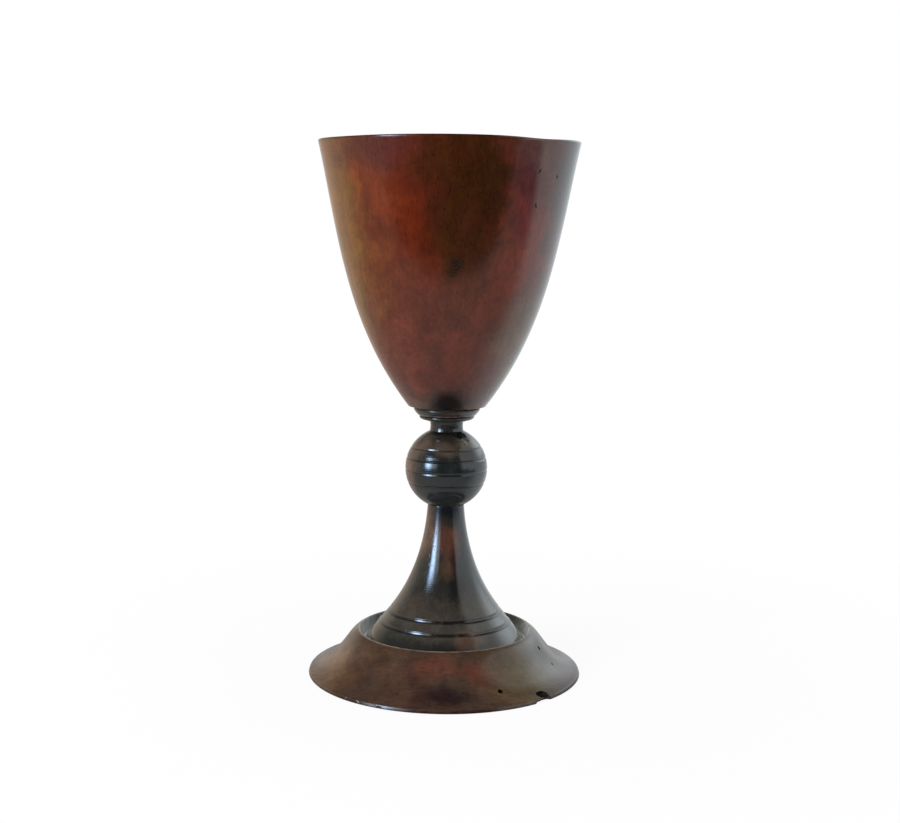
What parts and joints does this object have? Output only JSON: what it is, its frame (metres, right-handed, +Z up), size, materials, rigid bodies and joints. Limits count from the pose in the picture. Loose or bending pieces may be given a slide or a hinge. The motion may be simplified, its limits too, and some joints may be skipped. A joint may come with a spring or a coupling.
{
  "type": "wooden goblet",
  "caption": "Turned wooden goblet: open cup on a ringed collar, grooved ball knop and trumpet stem, standing in the recess of a dished, flared foot.",
  "frame": {"origin": "centre of the foot's standing face, on the turning axis at floor level", "axes": "+Z up along the turning axis, -Y towards the picture's viewpoint"},
  "size_m": [0.0988, 0.0988, 0.19],
  "materials": {
    "foot_wood": "waxed and hand-polished brown hardwood, worn at the edge",
    "stem_wood": "dark stained hardwood, glossy wax polish",
    "knop_wood": "dark stained hardwood, glossy wax polish",
    "collar_wood": "dark stained hardwood, glossy wax polish",
    "bowl_wood": "mottled brown hardwood, old glossy polish"
  },
  "bodies": {
    "root": {"foot": "foot_wood", "trumpet_stem": "stem_wood", "ball_knop": "knop_wood", "collar": "collar_wood", "bowl": "bowl_wood"}
  },
  "joints": []
}
